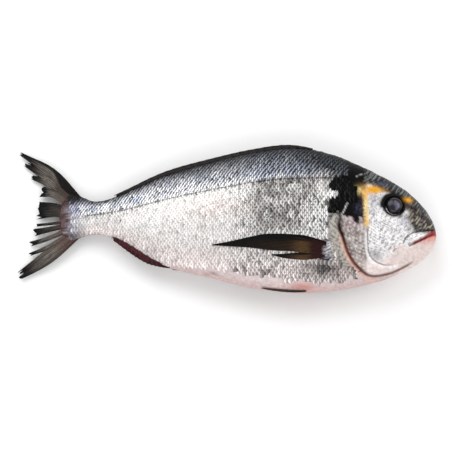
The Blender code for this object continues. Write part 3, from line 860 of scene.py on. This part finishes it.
def tail_blade(name, size, draw, material):
    """The blade's middle line is a smooth curve from root to tip, with its width spread evenly on both
    sides. Rays are ridges across the width; each ends a random share short of the tip, as frayed."""
    root_y, root_width, middle_x, middle_y, middle_width, tip_x, tip_y, tip_width, fray, rays = size
    path = through([
        (TAIL_ROOT_X, root_y, root_width), (middle_x, middle_y, middle_width), (tip_x, tip_y, tip_width),
    ], BLADE_STEPS)
    t = np.linspace(-1, 1, rays * RAY_STEPS + 1)[None, :]
    ends = 1 - fray * draw.uniform(0, 1, rays + 1) * np.where(np.arange(rays + 1) % 2, 1.0, 0.45)
    ends[0 if tip_y > 0 else -1] = 1.0
    end = np.interp(t[0], np.linspace(-1, 1, rays + 1), ends)
    s = np.linspace(0, 1, BLADE_STEPS)[:, None] * end[None, :]
    slope = np.gradient(path[:, :2], axis=0)
    slope /= np.linalg.norm(slope, axis=1, keepdims=True)
    at = s * (BLADE_STEPS - 1)
    middle_x, middle_y, width, slope_x, slope_y = (
        np.interp(at, np.arange(BLADE_STEPS), column) for column in np.hstack([path, slope]).T
    )
    ray = np.abs(np.sin(np.pi * rays * (t + 1) / 2))
    x = middle_x + slope_y * t * width / 2
    y = middle_y - slope_x * t * width / 2
    rim = np.sqrt(np.maximum(1 - t**8, 0)) * smooth(1.02, 0.94, s / end)
    half = (0.12 + 0.34 * (1 - 0.7 * s) * (0.45 + 0.55 * ray)) * rim + 0.02
    z = spine_height(x) + draw.uniform(-0.25, 0.35) * s * 2 + 0.5 * np.sin(2.2 * s + draw.uniform(0, 3)) * s
    z = np.maximum(z, half + 0.1)
    streak = noise(t * 9 + 0 * s, s * 6 + 0 * t, int(draw.integers(1000)), 2.0)
    outer = t if tip_y > 0 else -t
    leading = 1.0 if root_y > 17 else 0.5
    black_edge = smooth(0.2, 0.6, outer + 1.6 * smooth(0.55, 0.2, s) * (root_y > 12))
    colours = tinted(FIN_OLIVE, [
        (RAY_PALE, 0.7 * smooth(0.7, 0.95, ray) * smooth(0.1, 0.3, s) * smooth(0.95, 0.5, s)),
        (FIN_BLACK, 0.75 * smooth(0.55, 0.15, ray)),
        (FIN_DARK, 0.8 * smooth(0.4, 0.95, s + 0.2 * streak)),
        (FIN_BLACK, 0.5 * smooth(0.0, 0.8, streak)),
        (FIN_BLACK, 0.7 * (abs(tip_y - 2) < 11) + 0 * s),
        (FIN_RUST, 0.6 * smooth(0.44, 0.28, s + 0.14 * streak)),
        (FIN_BLACK, 0.95 * smooth(0.70, 0.9, s / end + 0.1 * streak)),
        (FIN_BLACK, 0.95 * leading * black_edge),
    ])
    upper, lower = np.stack([x, y, z + half], axis=-1), np.stack([x, y, z - half], axis=-1)
    return closed_leaf(name, upper, lower, colours, material)


fin_material, fin_tree, fin_shader = new_material(
    "moist_fin", FIN_OLIVE, 0.45, Specular_IOR_Level=0.05, Coat_Weight=0.05, Coat_Roughness=0.12,
)
where = add_tint(fin_tree, fin_shader, 0.2, 0.0016)
add_wet_gloss(fin_tree, fin_shader, where, 0.38, 0.6, 0.004, 0.0002)
draw = np.random.default_rng(50)
for number, size in enumerate(TAIL_BLADES, 1):
    blade = tail_blade(f"tail_blade_{number:02d}", size, draw, fin_material)
    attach(blade, "root")
    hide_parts("fish")

# ----------------------------------------------------------------------
# Folded fins of back and belly: the dorsal and anal fins lie shut in their grooves, stiff spines in front
# and soft rays behind, with the web pleated between them. The two pelvic fins are shut against the belly.
# ----------------------------------------------------------------------

WEB_RINGS, WEB_SIDES = 240, 28
ROD_RINGS, ROD_SIDES = 12, 6
# x at front and rear, half depth, half thickness, rise, shares of the depth, number of spines, their length
DORSAL_FIN = (66.0, -86.0, 2.4, 2.0, 2.0, (0.3, 1.0, 1.0, 1.0, 1.0, 0.9, 0.6), 24, 22.0)
ANAL_FIN = (-44.0, -88.0, 6.6, 1.0, 0.8, (0.1, 0.5, 0.9, 1.0, 0.85, 0.45), 14, 16.0)
PELVIC_FIN = (60.0, 27.0, 1.0, 0.9, 4.0, (0.5, 1.0, 0.9, 0.4), 6, 22.0)
WEB_MAROON = srgb(86, 32, 40)
WEB_BROWN = srgb(20, 18, 20)
SPINE_GREY = srgb(66, 60, 58)


def body_edge(x, edge):
    """The y of the back's or the belly's edge at each x, and which way is outward there."""
    back, belly, _ = rows_at(PROFILE, x)
    return (back, 1) if edge == "back" else (belly, -1)


def folded_web(name, size, edge, web_colour, tip_colour, material):
    """A pleated bead along the body's edge: an oval round it, ridged by pleats that slant rearwards."""
    front, rear, depth, half, rise, shares, count, _ = size
    x = np.linspace(front, rear, WEB_RINGS)[:, None]
    y, outward = body_edge(x, edge)
    share = np.maximum(through(np.array(shares)[:, None], WEB_RINGS), 0.05)
    angle = np.linspace(0, 2 * np.pi, WEB_SIDES, endpoint=False)[None, :]
    way = np.linspace(0, 1, WEB_RINGS)[:, None]
    pleat = np.sin(2 * np.pi * (way * count + 0.35 * np.sin(angle))) * 0.08
    ring_y = y + depth * share * (1 + 0.4 * pleat) * np.sin(angle)
    ring_z = spine_height(x) + rise + (half + pleat) * np.sqrt(share) * np.cos(angle)
    points = np.stack([x + 0 * ring_y, ring_y, np.maximum(ring_z, 0.05)], axis=-1)
    out = outward * np.sin(angle) + 0 * way
    ragged = noise(x + 0 * angle, ring_y, 61, 7)
    colours = tinted(web_colour, [
        (FIN_BLACK, 0.7 * smooth(0.15, 0.9, out + 0.3 * ragged)),
        (tip_colour, 0.8 * smooth(0.2, -0.2, out) * (0.6 + 0.4 * ragged)),
        (SPINE_GREY, 0.4 * smooth(0.04, 0.08, pleat)),
    ])
    return finish_mesh(name, points, tube_faces(WEB_RINGS, WEB_SIDES), colours, material)


def fin_spines(name, size, edge, material):
    """Tapered rods, one a pleat, each bowed back from its root on the edge of the body to its free tip."""
    front, rear, depth, half, rise, shares, count, length = size
    root_x = np.linspace(front - 1, rear + 0.45 * length, count)[:, None]
    s = np.linspace(0, 1, ROD_RINGS)[None, :]
    x = np.maximum(root_x - length * s, rear - 1.5)
    line, outward = body_edge(x, edge)
    share = np.interp(-x, np.linspace(-front, -rear, 60), through(np.array(shares)[:, None], 60)[:, 0])
    y = line + outward * depth * share * (-0.5 + 1.35 * s)
    z = spine_height(x) + rise + half * 0.95 * np.sqrt(np.maximum(1 - (1.3 * s - 0.4) ** 2, 0.05))
    radius = 0.42 * (1 - 0.75 * s) * np.interp(np.arange(count), [0, count - 1], [1.0, 0.7])[:, None]
    angle = np.linspace(0, 2 * np.pi, ROD_SIDES, endpoint=False)
    points = np.stack([
        x[..., None] + 0 * angle,
        y[..., None] + radius[..., None] * np.cos(angle),
        np.maximum(z[..., None] + radius[..., None] * np.sin(angle), 0.02),
    ], axis=-1)
    rod = tube_faces(ROD_RINGS, ROD_SIDES)
    firsts = range(0, count * ROD_RINGS * ROD_SIDES, ROD_RINGS * ROD_SIDES)
    faces = [[first + corner for corner in face] for first in firsts for face in rod]
    way = np.broadcast_to(s[..., None], points.shape[:3])
    colours = tinted(SPINE_GREY, [(FIN_DARK, 0.4 + 0.6 * smooth(0.2, 0.9, way))])
    return finish_mesh(name, points, faces, colours, material)


for name, size, edge, web_colour, tip_colour in (
    ("dorsal", DORSAL_FIN, "back", WEB_BROWN, FIN_DARK),
    ("anal", ANAL_FIN, "belly", WEB_MAROON, WEB_MAROON),
    ("pelvic", PELVIC_FIN, "belly", WEB_BROWN, BELLY_RED),
):
    for piece in (
        folded_web(f"{name}_web", size, edge, web_colour, tip_colour, fin_material),
        fin_spines(f"{name}_spines", size, edge, fin_material),
    ):
        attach(piece, "root")
        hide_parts("fish")

# ----------------------------------------------------------------------
# Pectoral fins: one on each flank, folded back along it. A fleshy silver root carries dark rays that
# overlap like a shut fan, with a few short rays split off at the lower edge.
# ----------------------------------------------------------------------

# x, upper edge and lower edge from the root to the tip
LONG_BLADE = (
    (75.0, -24.0, -32.6), (60.0, -19.8, -33.0), (50.0, -18.6, -31.6), (40.0, -18.1, -31.1),
    (28.0, -18.2, -30.0), (17.6, -20.0, -28.4), (3.4, -22.8, -27.1), (-12.0, -25.2, -25.7),
)
SHORT_BLADE = (
    (74.0, -30.6, -35.8), (60.0, -32.0, -37.7), (50.0, -32.6, -37.3), (42.0, -33.2, -36.2),
    (33.5, -33.6, -34.2),
)
# Edges, rays and height off the flank
PECTORAL_BLADES = ((LONG_BLADE, 12, 0.85), (SHORT_BLADE, 5, 0.6))
PECTORAL_STEPS, PECTORAL_RAY_STEPS = 90, 5
ROOT_MIDDLE, ROOT_REACH = (74.6, -30.2), (8.2, 8.8)
ROOT_RINGS, ROOT_SIDES = 30, 72
PECTORAL_AMBER = srgb(80, 58, 34)
PECTORAL_BROWN = srgb(24, 16, 13)
PECTORAL_DARK = srgb(8, 6, 6)
PECTORAL_MAROON = srgb(46, 18, 18)
ROOT_SILVER = srgb(148, 146, 156)


def pectoral_blade(name, edges, rays, lift, side, material):
    """Rays fan from the root: the leaf between two edges, ridged across, lies a little off the flank."""
    x, upper, lower = (column[:, None] for column in through(edges, PECTORAL_STEPS).T)
    t = np.linspace(0, 1, rays * PECTORAL_RAY_STEPS + 1)[None, :]
    s = np.linspace(0, 1, PECTORAL_STEPS)[:, None]
    ray = np.abs(np.sin(np.pi * rays * t)) ** 0.7
    lap = (rays * t) % 1
    y = lower + (upper - lower) * t
    across = x + 0 * t
    ground = flank(across, y, side)
    rim = np.sqrt(np.maximum(1 - (2 * t - 1) ** 10, 0))
    half = (0.15 + 0.35 * (1 - 0.6 * s) * (0.3 + 0.7 * ray)) * rim + 0.02
    middle = ground + side * (lift + 0.25 * lap * (1 - s) + 0.5 * smooth(0.8, 1, s))
    if side == LEFT:
        middle = np.maximum(middle, 0.1 + half)
    streak = noise(t * 12 + 0 * s, s * 5 + 0 * t, 70, 2.0)
    colours = tinted(PECTORAL_DARK, [
        (PECTORAL_BROWN, 0.9 * smooth(0.7, 0.3, t + 0.15 * streak) * smooth(0.8, 0.4, s)),
        (PECTORAL_AMBER, bump(across, 56.5, 7.0) * smooth(0.85, 0.45, t + 0.1 * streak)),
        (PECTORAL_AMBER, 0.25 * smooth(0.8, 0.95, ray) * smooth(0.9, 0.4, s) * smooth(0.8, 0.4, t)),
        (PECTORAL_MAROON, 0.9 * smooth(61.5, 64.5, across + 0.5 * streak)),
        (FIN_BLACK, 0.8 * smooth(0.45, 0.1, ray) + 0.7 * smooth(0.7, 0.95, t)),
    ])
    top = np.stack([across, y, middle + half], axis=-1)
    bottom = np.stack([across, y, middle - half], axis=-1)
    return closed_leaf(name, top, bottom, colours, material)


def pectoral_root(name, side, material):
    """The fleshy root: a low mound over an oval in the flank, falling off as one minus reach squared."""
    reach = np.linspace(0.02, 1, ROOT_RINGS)[:, None]
    turn = np.linspace(0, 2 * np.pi, ROOT_SIDES, endpoint=False)[None, :]
    x = ROOT_MIDDLE[0] + ROOT_REACH[0] * reach * np.cos(turn)
    y = ROOT_MIDDLE[1] + ROOT_REACH[1] * reach * np.sin(turn)
    height = reach * np.sin(turn)
    ground = flank(x, y, side)
    z = ground + side * (1.5 * (1 - reach**2) - 0.35 * reach**3)
    z = np.maximum(z, 0.05)
    under = np.maximum(ground - side * 0.9, 0.03) + 0 * z
    streak = noise(x * 0.25, y * 1.5, 75, 3)
    colours = tinted(ROOT_SILVER, [
        (SCALE_BRIGHT, 0.6 * spot(x, y, 77, -28, 4, 5)),
        (SCALE_SLATE, 0.6 * smooth(-0.1, 0.6, streak)),
        (THROAT_OLIVE, smooth(77, 81, x) + smooth(0.7, 0.95, reach) * (y > ROOT_MIDDLE[1] - 6)),
        (SCALE_GREY, 0.7 * smooth(0.1, 0.6, noise(x, y, 76, 2.0))),
        # Painted dark reflection: black over the lower part of the root, as on the scales below the fin
        (SCALE_BLACK, 0.9 * smooth(-34, -36.5, y + 1.5 * streak + 0.25 * (x - 72))),
        (PECTORAL_MAROON, 0.95 * smooth(71.5, 68.0, x + 0.5 * streak)),
        (FIN_BLACK, 0.9 * smooth(0.66, 0.9, height) + 0.75 * smooth(-0.8, -0.98, height)),
    ])
    points = np.concatenate([np.stack([x, y, z], axis=-1), np.stack([x, y, under], axis=-1)[::-1]])
    faces = tube_faces(2 * ROOT_RINGS, ROOT_SIDES)
    if side == LEFT:
        faces = [face[::-1] for face in faces]
    return finish_mesh(name, points, faces, np.concatenate([colours, colours[::-1]]), material)


for side, word in SIDES:
    root = pectoral_root(f"pectoral_root_{word}", side, skin_material)
    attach(root, "root")
    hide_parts("fish")
    for number, (edges, rays, lift) in enumerate(PECTORAL_BLADES, 1):
        blade = pectoral_blade(f"pectoral_fin_{word}_{number}", edges, rays, lift, side, fin_material)
        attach(blade, "root")
        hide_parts("fish")
